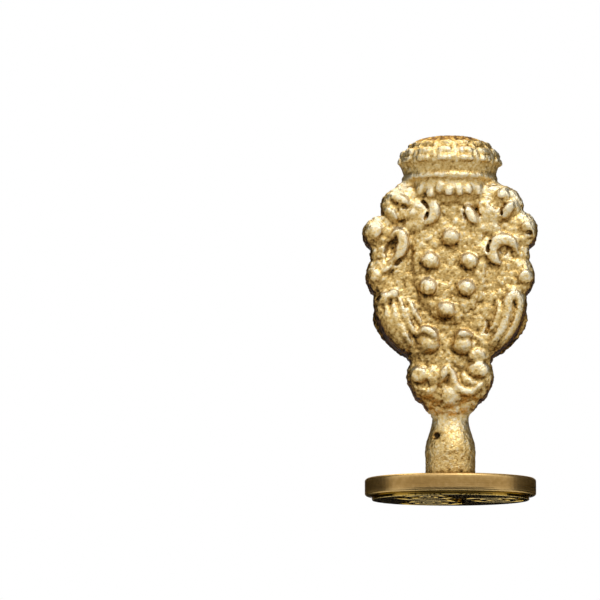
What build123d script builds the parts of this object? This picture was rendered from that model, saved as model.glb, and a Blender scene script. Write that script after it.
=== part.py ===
from build123d import *
from math import acos, atan2, cos, degrees, pi, radians, sin
import os

# A wax seal stamp: an engraved disc, a threaded stud and a cast ornamental handle.
# Millimetres. The seal face lies in Z = 0, the handle stands up along +Z, its front faces -Y.

# Seal die: a turned disc with a narrower raised face.
DIE_DIAMETER = 24.0
FLANGE_HEIGHT = 2.45
FLANGE_EDGE = 0.25
FACE_LEDGE = 0.95
FACE_HEIGHT = 0.55

# Engraving: three spirals that open into a three-cornered middle.
ENGRAVING_DEPTH = 0.5
PLAIN_BORDER = 0.45
GROOVE_MOUTH = 1.15
GROOVE_FLOOR = 0.7
SPIRAL_COUNT = 3
SPIRAL_HALF_TURNS = 4
SPIRALS_PITCHES_IN_RADIUS = 5.05

# Threaded stud between die and handle.
STUD_DIAMETER = 4.0
STUD_EDGE = 0.3
STUD_CLEARANCE = 0.04
STUD_IN_HANDLE = 5.4
STUD_END_GAP = 0.15
DIE_WEB = 0.65

# Foot and neck of the handle: heights are above the foot's base.
FOOT_DIAMETER = 7.25
FOOT_SHOULDER_HEIGHT = 4.6
NECK_DIAMETER = 5.05
NECK_HEIGHT = 8.1
FOOT_HEIGHT = 9.4
NECK_ROOT = 1.6
HOLE_COUNTERSINK = 0.3

# Shield plate: overall width and height, its thickness over the field and at the neck, and its bevelled edge.
PLATE_WIDTH = 24.6
PLATE_HEIGHT = 32.3
PLATE_DEPTH = 8.4
PLATE_END_DEPTH = 6.0
PLATE_TAPER_HEIGHT = 9.5
PLATE_EDGE_DEPTH = 3.0
PLATE_BEVEL = 25

# Relief on both sides of the plate.
SHIELD_WIDTH = 10.6
SHIELD_HEIGHT = 17.6
SHIELD_RISE = 0.6
SHIELD_FOOT = 12.0
ROUNDEL_DIAMETER = 2.7
ROUNDEL_RISE = 0.85
CARVING_RISE = 0.9
SICKLE_WIDTH = 1.3
FOLD_WIDTH = 1.1
KNOB_DIAMETER = 2.9
KNOB_RISE = 1.0
BUTTON_SINK = 0.3
BUTTON_SIDES = 10
SICKLE_CHORDS = 4

# Crown: a round cap with ribs, and rows of bricks between them.
CROWN_DIAMETER = 14.7
CROWN_WAIST_DIAMETER = 12.6
CROWN_RIM_DIAMETER = 13.3
CROWN_HEIGHT = 6.95
CROWN_BELLY_HEIGHT = 3.0
CROWN_RIM_HEIGHT = 1.0
CROWN_ROOT = 1.5
CROWN_PANELS = 14
CROWN_RIB_WIDTH = 0.8
CROWN_RIB_RISE = 0.4
BRICK_WIDTH = 1.5
BRICK_RISE = 0.3
BRICK_GAP = 0.4

# Plate outline, right half, from the neck up: corners between the lobes and the crest of each lobe,
# as shares of half the plate's width and of its height.
LOBE_CORNERS = [(0.25, 0.0), (0.5, 0.235), (0.865, 0.47), (0.9, 0.685), (0.84, 0.885), (0.53, 1.0)]
LOBE_CRESTS = [(0.485, 0.135), (0.81, 0.355), (0.965, 0.585), (1.0, 0.79), (0.78, 0.955)]

# Roundels on the shield, as shares of half the plate's width and of its height.
ROUNDELS = [(0.01, 0.765), (-0.24, 0.665), (0.22, 0.66), (-0.24, 0.55), (0.2, 0.55), (-0.03, 0.45)]

# Knobs, right half: the eyes of the shoulder scrolls and of the lower volutes.
KNOBS = [(0.45, 0.87), (0.345, 0.17)]

# Boss between the volutes.
BOSS = (0, 0.085)

# Sickles, right half: one tip, the crest of the outer arc and the other tip.
SICKLES = [
    ((0.27, 0.93), (0.14, 0.88), (0.28, 0.815)),
    ((0.67, 0.915), (0.56, 0.945), (0.42, 0.925)),
    ((0.69, 0.89), (0.655, 0.85), (0.56, 0.825)),
    ((0.79, 0.725), (0.875, 0.785), (0.73, 0.825)),
    ((0.69, 0.745), (0.5, 0.7), (0.64, 0.625)),
    ((0.78, 0.535), (0.855, 0.59), (0.7, 0.635)),
    ((0.34, 0.31), (0.21, 0.35), (0.08, 0.31)),
    ((0.03, 0.21), (0.16, 0.09), (0.36, 0.12)),
]

# Drapery folds, right half: top, belly and lower end of each fold.
FOLDS = [
    ((0.75, 0.49), (0.72, 0.375), (0.49, 0.26)),
    ((0.64, 0.49), (0.605, 0.38), (0.43, 0.275)),
    ((0.53, 0.49), (0.5, 0.39), (0.37, 0.3)),
]

# Worked-out places.
DIE_RADIUS = DIE_DIAMETER / 2
DIE_TOP = FACE_HEIGHT + FLANGE_HEIGHT
FACE_RADIUS = DIE_RADIUS - FACE_LEDGE
PITCH = (FACE_RADIUS - PLAIN_BORDER) / SPIRALS_PITCHES_IN_RADIUS
SPIRAL_CORE = PITCH / 3
SPIRAL_ENTRY = SPIRAL_CORE + SPIRAL_HALF_TURNS * PITCH / 2
SPIRAL_PLACE = FACE_RADIUS - PLAIN_BORDER - GROOVE_MOUTH / 2 - (SPIRAL_ENTRY - PITCH / 2)
GROOVE_SLOPE = (GROOVE_MOUTH - GROOVE_FLOOR) / 2 / ENGRAVING_DEPTH

SOCKET_FLOOR = ENGRAVING_DEPTH + DIE_WEB
HOLE_RADIUS = STUD_DIAMETER / 2 + STUD_CLEARANCE
STUD_BOTTOM = SOCKET_FLOOR + STUD_END_GAP
STUD_TOP = DIE_TOP + STUD_IN_HANDLE
HOLE_TOP = STUD_TOP + STUD_END_GAP

PLATE_BOTTOM = DIE_TOP + FOOT_HEIGHT
PLATE_TOP = PLATE_BOTTOM + PLATE_HEIGHT
SHIELD_BOTTOM = PLATE_BOTTOM + SHIELD_FOOT
SHIELD_FRONT = PLATE_DEPTH / 2 + SHIELD_RISE
TAPER_TOP = PLATE_BOTTOM + PLATE_TAPER_HEIGHT
CROWN_TOP = PLATE_TOP + CROWN_HEIGHT


def polar(radius, angle, centre=(0, 0)):
    """Point at a radius and an angle in degrees about a centre."""
    return (centre[0] + radius * cos(radians(angle)), centre[1] + radius * sin(radians(angle)))


def inward_spiral(start, pitch, half_turns, winding=1):
    """Half-turn arcs about the origin, inward from (-start, 0): clockwise, or the other way if winding is -1."""
    reach = [start - k * pitch / 2 for k in range(half_turns + 1)]
    arcs = []
    for k in range(half_turns):
        side = 1 if k % 2 == 0 else -1
        crest = (side * (reach[k + 1] - reach[k]) / 2, winding * side * (reach[k] + reach[k + 1]) / 2)
        arcs.append(ThreePointArc((-side * reach[k], 0), crest, (side * reach[k + 1], 0)))
    return Wire(arcs)


def middle_pocket():
    """Outline of the three-cornered middle: walls of the spirals joined by their inner tangents."""
    step = 360 / SPIRAL_COUNT
    arc_place = SPIRAL_PLACE - PITCH / 4
    arc_radius = SPIRAL_ENTRY - PITCH / 4
    ridge, wall = arc_radius - GROOVE_MOUTH / 2, arc_radius + GROOVE_MOUTH / 2
    spacing = 2 * arc_place * sin(pi / SPIRAL_COUNT)
    lean = degrees(acos(min(1, 2 * arc_radius / spacing)))
    normal = 90 + step / 2 - lean
    edges = []
    for k in range(SPIRAL_COUNT):
        turn = -k * step
        here = polar(arc_place, turn)
        before = polar(arc_place, turn + step)
        on_ridge = polar(-ridge, normal + turn, before)
        on_wall = polar(wall, normal + turn, here)
        inner = polar(ridge, normal + turn, here)
        far = normal + turn + 180 - step
        edges.append(Line(on_ridge, on_wall))
        edges.append(Line(on_wall, inner))
        edges.append(ThreePointArc(inner, polar(ridge, (normal + turn + far) / 2, here), polar(ridge, far, here)))
    return make_face(Wire(edges))


def engraving():
    """Cutter for the whole pattern, as seen on the face: the face is z = 0 and the metal lies below it."""
    lift = 0.1
    mouth = GROOVE_MOUTH / 2 + lift * GROOVE_SLOPE
    floor = GROOVE_FLOOR / 2
    pocket = middle_pocket()
    cutters = [
        extrude(pocket, amount=ENGRAVING_DEPTH, dir=(0, 0, -1), taper=degrees(atan2(GROOVE_SLOPE, 1))),
        extrude(pocket, amount=lift),
    ]
    section = Polyline(
        (-mouth, lift), (mouth, lift), (floor, -ENGRAVING_DEPTH), (-floor, -ENGRAVING_DEPTH), close=True
    )
    start = Plane(origin=(-SPIRAL_ENTRY, 0, 0), x_dir=(-1, 0, 0), z_dir=(0, 1, 0))
    path = inward_spiral(SPIRAL_ENTRY, PITCH, SPIRAL_HALF_TURNS)
    groove = sweep(start * make_face(section), path=path)
    end = Pos(-SPIRAL_CORE, 0, (lift - ENGRAVING_DEPTH) / 2) * Cone(floor, mouth, lift + ENGRAVING_DEPTH)
    for k in range(SPIRAL_COUNT):
        place = Rot(0, 0, k * 360 / SPIRAL_COUNT) * Pos(SPIRAL_PLACE, 0, 0)
        cutters += [place * groove, place * end]
    return cutters


def seal_die():
    """Flange, ledge and raised face, with the engraving below and the stud's socket above."""
    edge = min(FLANGE_EDGE, FLANGE_HEIGHT / 4)
    outline = Polyline(
        (0, 0), (FACE_RADIUS, 0), (FACE_RADIUS, FACE_HEIGHT), (DIE_RADIUS - edge, FACE_HEIGHT),
        (DIE_RADIUS, FACE_HEIGHT + edge), (DIE_RADIUS, DIE_TOP - edge), (DIE_RADIUS - edge, DIE_TOP), (0, DIE_TOP),
        close=True,
    )
    disc = revolve(Plane.XZ * make_face(outline), axis=Axis.Z)
    seen_from_below = Plane(origin=(0, 0, 0), x_dir=(1, 0, 0), z_dir=(0, 0, -1))
    for cutter in engraving():
        disc -= seen_from_below * cutter
    socket = Pos(0, 0, SOCKET_FLOOR) * Cylinder(
        HOLE_RADIUS, DIE_TOP - SOCKET_FLOOR, align=(Align.CENTER, Align.CENTER, Align.MIN)
    )
    return disc - socket


def stud():
    """Plain core of the threaded stud, its ends chamfered."""
    length = STUD_TOP - STUD_BOTTOM
    rod = Cylinder(STUD_DIAMETER / 2, length, align=(Align.CENTER, Align.CENTER, Align.MIN))
    return Pos(0, 0, STUD_BOTTOM) * chamfer(rod.edges().filter_by(GeomType.CIRCLE), STUD_EDGE)


# The handle is drawn facing +Z with its axis along Y, and turned upright at the end.


def at(place):
    """Point on the plate's drawing from its shares of half the width and of the height."""
    return (place[0] * PLATE_WIDTH / 2, PLATE_BOTTOM + place[1] * PLATE_HEIGHT)


def flipped(place):
    """The same place on the other half of the plate."""
    return (-place[0], place[1])


def surface(y):
    """Height of the plate's front above its middle plane."""
    share = min(1, max(0, (y - PLATE_BOTTOM) / PLATE_TAPER_HEIGHT))
    return (PLATE_END_DEPTH + share * (PLATE_DEPTH - PLATE_END_DEPTH)) / 2


def slab(raised):
    """Block as wide as the plate whose top follows the plate's front, raised above it."""
    side_view = Polyline(
        (PLATE_BOTTOM, 0), (PLATE_BOTTOM, PLATE_END_DEPTH / 2 + raised), (TAPER_TOP, PLATE_DEPTH / 2 + raised),
        (PLATE_TOP, PLATE_DEPTH / 2 + raised), (PLATE_TOP, 0), close=True,
    )
    seen_from_side = Plane(origin=(0, 0, 0), x_dir=(0, 1, 0), z_dir=(1, 0, 0))
    return extrude(seen_from_side * make_face(side_view), amount=PLATE_WIDTH, both=True)


def lobed_outline():
    """Outline of the plate, counterclockwise: one arc a lobe, up the right side and down the left."""
    corners, crests = [at(place) for place in LOBE_CORNERS], [at(place) for place in LOBE_CRESTS]
    left_corners = [flipped(corner) for corner in reversed(corners)]
    left_crests = [flipped(crest) for crest in reversed(crests)]
    edges = []
    for stops, tops in ((corners, crests), (left_corners, left_crests)):
        edges += [ThreePointArc(a, crest, b) for a, crest, b in zip(stops, tops, stops[1:])]
    edges.append(Line(corners[-1], left_corners[0]))
    edges.append(Line(left_corners[-1], corners[0]))
    return make_face(Wire(edges))


def half_plate():
    """Front half of the lobed plate: bevelled all round, thinner towards the neck."""
    outline = lobed_outline()
    edge = PLATE_EDGE_DEPTH / 2
    wall = extrude(outline, amount=edge)
    bevel = extrude(Pos(0, 0, edge) * outline, amount=PLATE_DEPTH / 2 - edge, dir=(0, 0, 1), taper=PLATE_BEVEL)
    return (wall + bevel) & slab(0)


def shield():
    """Raised oval field in the middle of the plate, drawn with four arcs."""
    x, y = SHIELD_WIDTH / 2, SHIELD_HEIGHT / 2
    waist = 0.55 * y
    shoulder = (0.88 * x, waist)
    right = ThreePointArc((shoulder[0], -waist), (x, 0), shoulder)
    cap = ThreePointArc(shoulder, (0, y), (-shoulder[0], waist))
    oval = make_face(Wire([right, cap, right.mirror(Plane.YZ), cap.mirror(Plane.XZ)]))
    return extrude(Pos(0, SHIELD_BOTTOM + y) * oval, amount=SHIELD_FRONT)


def stacked(sides, courses):
    """Solid with flat panels through courses of corner radius and height."""
    rings = []
    for radius, height in courses:
        rings.append([(*polar(radius, k * 360 / sides), height) for k in range(sides)])
    outlines = [rings[0], rings[-1]]
    for low, high in zip(rings, rings[1:]):
        outlines += [[low[k - 1], low[k], high[k], high[k - 1]] for k in range(sides)]
    return Solid(Shell([Face(Wire.make_polygon(outline)) for outline in outlines]))


def button(place, diameter, rise, base):
    """Round boss with a steep and a flat course, rooted a little below the surface that carries it."""
    radius = diameter / 2
    steep, crest = 0.78 * radius, 0.4 * radius
    shoulder = 0.65 * rise
    root = radius + BUTTON_SINK * (radius - steep) / shoulder
    return Pos(*at(place), base) * stacked(BUTTON_SIDES, [(root, -BUTTON_SINK), (steep, shoulder), (crest, rise)])


def sickle(tip, crest, end, width):
    """Carved sickle between two arcs of a few chords, as wide as this at its belly."""
    first, top, last = (Vector(*at(place)) for place in (tip, crest, end))
    inward = ((first + last) / 2 - top).normalized()
    points = []
    for arc in (ThreePointArc(first, top, last), ThreePointArc(last, top + inward * width, first)):
        points += [arc @ (k / SICKLE_CHORDS) for k in range(SICKLE_CHORDS)]
    return extrude(make_face(Polyline(*points, close=True)), amount=PLATE_DEPTH) & slab(CARVING_RISE)


def cap_courses(grown):
    """Profile of the crown's cap from the rim up, grown by a margin: courses that lean in towards the top."""
    belly = PLATE_TOP + CROWN_BELLY_HEIGHT
    leans = [radians(angle) for angle in (0, 30, 60, 80)]
    radius = CROWN_DIAMETER / 2 - CROWN_RIB_RISE + grown
    rise = (CROWN_TOP - CROWN_RIB_RISE + grown - belly) / sin(leans[-1])
    courses = [(radius * cos(lean), belly + rise * sin(lean)) for lean in leans]
    return [(CROWN_WAIST_DIAMETER / 2 + grown, PLATE_TOP + CROWN_RIM_HEIGHT / 2)] + courses


def fin():
    """One rib right across the cap, over its top."""
    side = cap_courses(CROWN_RIB_RISE)
    outline = Polyline(*side, *[flipped(point) for point in reversed(side)], close=True)
    return extrude(make_face(outline), amount=CROWN_RIB_WIDTH / 2, both=True)


def brick(low, high):
    """One brick on a panel of the cap, between the panel's lower and upper edge."""
    inset = cos(pi / CROWN_PANELS)
    low, high = Vector(low[0] * inset, low[1]), Vector(high[0] * inset, high[1])
    along = (high - low).normalized()
    out = Vector(along.Y, -along.X)
    start, stop = low + along * BRICK_GAP, high - along * BRICK_GAP
    outline = Polyline(
        start - out * BRICK_RISE, start + out * BRICK_RISE, stop + out * BRICK_RISE, stop - out * BRICK_RISE, close=True
    )
    return extrude(make_face(outline), amount=BRICK_WIDTH / 2, both=True)


def crown():
    """Ribbed and bricked cap on a bevelled rim and a plain waist."""
    waist, rim = CROWN_WAIST_DIAMETER / 2, CROWN_RIM_DIAMETER / 2
    root, rim_top = PLATE_TOP - CROWN_ROOT, PLATE_TOP + CROWN_RIM_HEIGHT
    outline = Polyline(
        (0, root), (waist, root), (waist, PLATE_TOP), (rim, PLATE_TOP + CROWN_RIM_HEIGHT / 3),
        (rim, rim_top - CROWN_RIM_HEIGHT / 3), (waist, rim_top), (0, rim_top), close=True,
    )
    band = revolve(make_face(outline), axis=Axis.Y)
    courses = cap_courses(0)
    step = 360 / CROWN_PANELS
    cap = Rot(-90, 0, 0) * Rot(0, 0, step / 2) * stacked(CROWN_PANELS, courses)
    for k in range(CROWN_PANELS // 2):
        cap += fin().rotate(Axis.Y, (k + 0.5) * step)
    for low, high in zip(courses[1:], courses[2:4]):
        for k in range(CROWN_PANELS):
            cap += brick(low, high).rotate(Axis.Y, k * step)
    return [band, cap]


def foot():
    """Round foot that narrows from its shoulder to the neck and runs up into the plate."""
    radius, neck = FOOT_DIAMETER / 2, NECK_DIAMETER / 2
    shoulder, waist = DIE_TOP + FOOT_SHOULDER_HEIGHT, DIE_TOP + NECK_HEIGHT
    half_way = (0.55 * radius + 0.45 * neck, (shoulder + waist) / 2)
    top = (PLATE_END_DEPTH / 2, PLATE_BOTTOM + NECK_ROOT)
    outline = Polyline(
        (0, DIE_TOP), (radius, DIE_TOP), (radius, shoulder), half_way, (neck, waist), top, (0, top[1]), close=True
    )
    return revolve(make_face(outline), axis=Axis.Y)


def relief():
    """Everything raised on the front of the plate; sickles, folds and knobs come in mirrored pairs."""
    pieces = [shield()] + [button(place, ROUNDEL_DIAMETER, ROUNDEL_RISE, SHIELD_FRONT) for place in ROUNDELS]
    for shapes, width in ((SICKLES, SICKLE_WIDTH), (FOLDS, FOLD_WIDTH)):
        for places in shapes:
            pieces.append(sickle(*places, width))
            pieces.append(sickle(*map(flipped, places), width))
    for place in [BOSS] + KNOBS + [flipped(knob) for knob in KNOBS]:
        pieces.append(button(place, KNOB_DIAMETER, KNOB_RISE, surface(at(place)[1])))
    return pieces


def handle():
    """The whole casting, with the stud's blind hole."""
    front = half_plate()
    for piece in relief():
        front += piece
    casting = front + front.rotate(Axis.Y, 180) + foot()
    for piece in crown():
        casting += piece
    upright = Plane.XZ * casting
    hole = Pos(0, 0, DIE_TOP) * Cylinder(
        HOLE_RADIUS, HOLE_TOP - DIE_TOP, align=(Align.CENTER, Align.CENTER, Align.MIN)
    )
    countersink = Pos(0, 0, DIE_TOP) * Cone(
        HOLE_RADIUS + HOLE_COUNTERSINK, HOLE_RADIUS, HOLE_COUNTERSINK, align=(Align.CENTER, Align.CENTER, Align.MIN)
    )
    return upright - hole - countersink


os.makedirs("parts", exist_ok=True)
export_step(seal_die(), "parts/seal_die.step")
export_step(stud(), "parts/stud.step")
export_step(handle(), "parts/handle.step")
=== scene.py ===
"""Looks of the wax seal stamp: a gilt casting in deep relief, an engraved die and a threaded stud."""
from math import asin, atan, cos, pi, radians, sin

import bpy
import numpy as np
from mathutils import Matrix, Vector


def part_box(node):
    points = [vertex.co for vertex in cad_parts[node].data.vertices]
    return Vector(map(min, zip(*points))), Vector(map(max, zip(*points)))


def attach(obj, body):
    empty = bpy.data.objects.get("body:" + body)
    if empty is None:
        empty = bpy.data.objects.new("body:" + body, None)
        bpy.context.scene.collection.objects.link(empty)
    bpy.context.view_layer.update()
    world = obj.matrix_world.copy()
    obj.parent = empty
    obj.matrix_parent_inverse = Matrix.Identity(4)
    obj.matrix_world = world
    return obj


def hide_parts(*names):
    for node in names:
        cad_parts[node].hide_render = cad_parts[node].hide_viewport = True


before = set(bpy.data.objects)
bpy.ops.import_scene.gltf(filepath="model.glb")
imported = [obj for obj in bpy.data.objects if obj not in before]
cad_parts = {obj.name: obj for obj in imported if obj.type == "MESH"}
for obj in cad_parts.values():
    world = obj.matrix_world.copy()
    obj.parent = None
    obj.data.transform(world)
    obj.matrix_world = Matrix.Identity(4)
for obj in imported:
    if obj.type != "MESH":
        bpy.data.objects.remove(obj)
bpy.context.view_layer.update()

# The handle and the stud are modelled in millimetres, and scaled to metres once they are whole.
MM = 0.001

# The photograph: its width in pixels, the stamp's axis, the row of the foot's base, the size of a pixel
# on the axis, and the slope of the view, by which nearer points show higher.
IMAGE_WIDTH = 600
AXIS_COLUMN = 450
FOOT_ROW = 479.5
PIXEL_MM = 0.1404
LOOK_UP = 0.1

# Rows of the relief were read on its lit upper flanks, this far above the middles.
FLANK_ROWS = 2

# Heights and sizes that the frame gives.
FOOT_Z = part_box("handle")[0].z / MM
CROWN_TOP_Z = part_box("handle")[1].z / MM
STUD_LOW, STUD_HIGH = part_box("stud")
STUD_RADIUS = STUD_HIGH.x / MM

# Casting: mesh size, the finer share of it that its cutters have, and its rounds of smoothing.
CAST_VOXEL = 0.197
CUTTER_SHARE = 0.7
CAST_ROUNDS = 1

# Smoothing of any mesh in one round, and the gap in mm within which points are welded.
SMOOTHING = 0.5
WELD_GAP = 0.001


def select(pieces):
    """Selects these pieces alone, the first one active."""
    bpy.ops.object.select_all(action="DESELECT")
    for piece in pieces:
        piece.select_set(True)
    bpy.context.view_layer.objects.active = pieces[0]


def settle(piece):
    """Puts a piece's place, turn and scale into its mesh."""
    select([piece])
    bpy.ops.object.transform_apply(location=True, rotation=True, scale=True)


def join(pieces, name):
    select(pieces)
    bpy.ops.object.join()
    whole = bpy.context.object
    settle(whole)
    whole.name = name
    return whole


def modify(piece, kind, **settings):
    """Adds a modifier with these settings and applies it."""
    select([piece])
    bpy.ops.object.modifier_add(type=kind)
    modifier = piece.modifiers[-1]
    for key, value in settings.items():
        setattr(modifier, key, value)
    bpy.ops.object.modifier_apply(modifier=modifier.name)


def smooth(piece, rounds):
    modify(piece, "SMOOTH", factor=SMOOTHING, iterations=rounds)


def fuse(piece, voxel, rounds):
    """Makes one skin of a piece's overlapping forms, with this mesh size, and smooths it."""
    modify(piece, "REMESH", mode="VOXEL", voxel_size=voxel)
    smooth(piece, rounds)


def weld(piece, gap, outward=False):
    """Joins points that lie within a gap, and turns the faces outward if asked."""
    select([piece])
    bpy.ops.object.mode_set(mode="EDIT")
    bpy.ops.mesh.select_all(action="SELECT")
    bpy.ops.mesh.remove_doubles(threshold=gap)
    if outward:
        bpy.ops.mesh.normals_make_consistent(inside=False)
    bpy.ops.object.mode_set(mode="OBJECT")


def corners(piece):
    """Places and normals of a mesh's points."""
    count = len(piece.data.vertices)
    places, normals = np.empty(3 * count), np.empty(3 * count)
    piece.data.vertices.foreach_get("co", places)
    piece.data.vertices.foreach_get("normal", normals)
    return places.reshape(-1, 3), normals.reshape(-1, 3)


def move_corners(piece, places):
    piece.data.vertices.foreach_set("co", places.ravel())
    piece.data.update()


# Base form of the casting: rounded pads that stand upright, as place, half-width and half-height,
# half-depth, tilt in degrees and the round of the edge. Shoulders and ears differ a little by side.
SINGLE = [
    ((0, 31.0), (9.6, 13.5), 4.1, 0, 2.0),
    ((0, 33.6), (5.6, 9.6), 4.7, 0, 1.4),
    ((0, 21.2), (6.3, 4.2), 4.0, 0, 2.0),
    ((0, 15.9), (5.5, 3.4), 3.6, 0, 1.8),
    ((0, 13.9), (3.9, 2.3), 3.0, 0, 1.6),
    ((5.4, 41.2), (4.9, 3.2), 4.3, 0, 1.8),
    ((-5.1, 41.1), (4.6, 3.1), 4.3, 0, 1.8),
    ((9.2, 37.7), (3.05, 2.9), 4.0, 0, 1.7),
    ((-9.3, 37.3), (2.95, 2.5), 4.0, 0, 1.7),
]
PAIRED = [
    ((5.0, 42.0), (3.2, 3.1), 3.4, 0, 1.5),
    ((8.5, 34.4), (2.65, 2.6), 3.8, 0, 1.5),
    ((8.8, 31.4), (3.0, 3.2), 4.0, 0, 1.7),
    ((6.35, 25.4), (3.55, 6.2), 4.1, 30, 1.9),
    ((3.3, 17.3), (2.75, 2.9), 3.9, 0, 1.7),
]


def mirrored(centre, radii, half, tilt, edge):
    """The same pad on the other side of the axis."""
    return (-centre[0], centre[1]), radii, half, -tilt, edge


PADS = SINGLE + PAIRED + [mirrored(*form) for form in PAIRED]

# Search for the place on the front that shows at a pixel: the depth it starts from, and its rounds.
FIRST_DEPTH = 4
DEPTH_ROUNDS = 3


def front(x, z):
    """How far the base form stands in front of the stamp's axis at this place, or these places."""
    depth = np.zeros(np.shape(x))
    for centre, radii, half, tilt, edge in PADS:
        dx, dz = x - centre[0], z - centre[1]
        turn = radians(tilt)
        across = (dx * cos(turn) - dz * sin(turn)) / radii[0]
        along = (dx * sin(turn) + dz * cos(turn)) / radii[1]
        inside = np.clip((1 - np.hypot(across, along)) * min(radii), 0, edge)
        rise = half - edge + np.sqrt(edge ** 2 - (edge - inside) ** 2)
        depth = np.maximum(depth, np.where(inside > 0, rise, 0))
    return depth


def spot(column, row):
    """Place in the stamp's middle plane, behind the point of the front that shows at this pixel."""
    x = (column - AXIS_COLUMN) * PIXEL_MM
    height = FOOT_Z + (FOOT_ROW - row - FLANK_ROWS) * PIXEL_MM
    depth = FIRST_DEPTH
    for _ in range(DEPTH_ROUNDS):
        depth = front(x, height - LOOK_UP * depth)
    return Vector((x, 0, height - LOOK_UP * depth))


def spots(pixels):
    return [spot(*pixel) for pixel in pixels]


def draped(piece, rise, flat=1.0, lift=0.0):
    """Lays a form from the middle plane on the casting's front: its rise, the share that its crest
    is flattened to, and how far it is lifted off."""
    settle(piece)
    places, _ = corners(piece)
    x, y, z = places.T
    places[:, 1] = np.clip(y / abs(y).max(), -flat, flat) * rise / flat - front(x, z) - lift
    move_corners(piece, places)
    return piece


def pad(centre, radii, half, tilt, edge):
    """Upright oval pad with round edges, through the whole depth of the casting."""
    bpy.ops.mesh.primitive_cylinder_add(vertices=64, radius=1, depth=2 * half, rotation=(pi / 2, 0, 0))
    piece = bpy.context.object
    settle(piece)
    piece.scale = (radii[0], 1, radii[1])
    settle(piece)
    modify(piece, "BEVEL", width=edge, segments=6, limit_method="ANGLE", angle_limit=radians(60))
    piece.rotation_euler = (0, radians(tilt), 0)
    piece.location = (centre[0], 0, centre[1])
    return piece


def lump(centre, radii, tilt=0):
    bpy.ops.mesh.primitive_uv_sphere_add(
        segments=32, ring_count=20, location=centre, scale=radii, rotation=(0, radians(tilt), 0)
    )
    return bpy.context.object


# The share of its half-width that a strand keeps at its ends.
END_TAPER = 0.4


def strand(points, widths, name="strand"):
    """Rounded strand through points, half-width by half-width, with tapered ends."""
    bpy.ops.curve.primitive_bezier_curve_add()
    piece = bpy.context.object
    piece.name = name
    curve = piece.data
    curve.splines.clear()
    spline = curve.splines.new("BEZIER")
    spline.bezier_points.add(len(points) - 1)
    for knot, place, width in zip(spline.bezier_points, points, widths):
        knot.co = place
        knot.radius = width
        knot.handle_left_type = "AUTO"
        knot.handle_right_type = "AUTO"
    spline.bezier_points[0].radius *= END_TAPER
    spline.bezier_points[-1].radius *= END_TAPER
    curve.resolution_u = 8
    curve.bevel_depth = 1
    curve.bevel_resolution = 3
    curve.use_fill_caps = True
    select([piece])
    bpy.ops.object.convert(target="MESH")
    return bpy.context.object


def lathe(profile, name, steps=96):
    """Turned solid from a profile of radius and height, closed on the axis."""
    bpy.ops.mesh.primitive_circle_add(vertices=3, radius=1)
    piece = bpy.context.object
    piece.name = name
    mesh = piece.data
    mesh.clear_geometry()
    edges = [(k, k + 1) for k in range(len(profile) - 1)]
    mesh.from_pydata([(radius, 0, z) for radius, z in profile], edges, [])
    modify(piece, "SCREW", axis="Z", angle=2 * pi, steps=steps, render_steps=steps, use_merge_vertices=True)
    weld(piece, WELD_GAP, outward=True)
    return piece


# Relief on the front, by pixel of the photograph.
# Bands: points along the middle, half-widths of the bright crest in mm, and its rise. The foot of a band is
# wider than its crest, and the crest is flattened.
BAND_SPREAD = 1.4
BAND_LIFT = 1.2
CREST_FLAT = 0.68
BANDS = [
    # Crescents beside the top of the shield.
    ([(424, 197), (431, 201), (434, 209), (430, 218), (422, 225)], [0.4, 0.6, 0.7, 0.6, 0.3], 0.7),
    ([(468, 201), (469, 210), (473, 217), (479, 223)], [0.5, 0.65, 0.65, 0.45], 0.75),
    # Broad masses of the shoulder scrolls.
    ([(415, 199), (419, 209), (414, 220), (405, 231)], [1.0, 1.3, 1.2, 0.8], 0.4),
    ([(484, 198), (486, 211), (491, 223), (501, 232)], [0.9, 1.2, 1.2, 0.8], 0.4),
    ([(495, 197), (503, 192), (511, 193)], [0.5, 0.6, 0.4], 0.5),
    # Ear rims.
    ([(372, 240), (370, 230), (377, 222)], [0.5, 0.8, 0.5], 0.4),
    ([(521, 229), (527, 224), (532, 228), (532, 237)], [0.4, 0.6, 0.6, 0.4], 0.5),
    # Hooks in the middle of the sides.
    ([(391, 235), (398, 231), (403, 238), (402, 247), (398, 255), (389, 262)],
     [0.4, 0.55, 0.65, 0.65, 0.5, 0.3], 0.8),
    ([(501, 263), (494, 257), (492, 248), (496, 240), (503, 238), (512, 242), (517, 251)],
     [0.5, 0.65, 0.65, 0.65, 0.65, 0.6, 0.35], 0.8),
    ([(383, 270), (392, 264)], [0.6, 0.5], 0.4),
    # Lids over the pair of knobs below the shield.
    ([(418, 333), (425, 329), (433, 333), (438, 341)], [0.4, 0.55, 0.5, 0.35], 1.15),
    ([(456, 339), (462, 333), (473, 334)], [0.4, 0.55, 0.4], 1.15),
    # Ridges and rims of the lower volutes.
    ([(446, 364), (444, 371), (440, 384)], [0.4, 0.5, 0.35], 0.85),
    ([(447, 364), (452, 371), (454, 380), (460, 388), (471, 391), (482, 381)],
     [0.35, 0.4, 0.45, 0.45, 0.4, 0.3], 0.6),
    ([(461, 372), (467, 380), (477, 381)], [0.4, 0.5, 0.4], 0.4),
    ([(412, 383), (421, 391), (431, 390), (436, 381)], [0.4, 0.5, 0.45, 0.3], 0.4),
    # Bar under the middle knob.
    ([(443, 404), (450, 402), (456, 404)], [0.4, 0.5, 0.4], 0.7),
]

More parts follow.
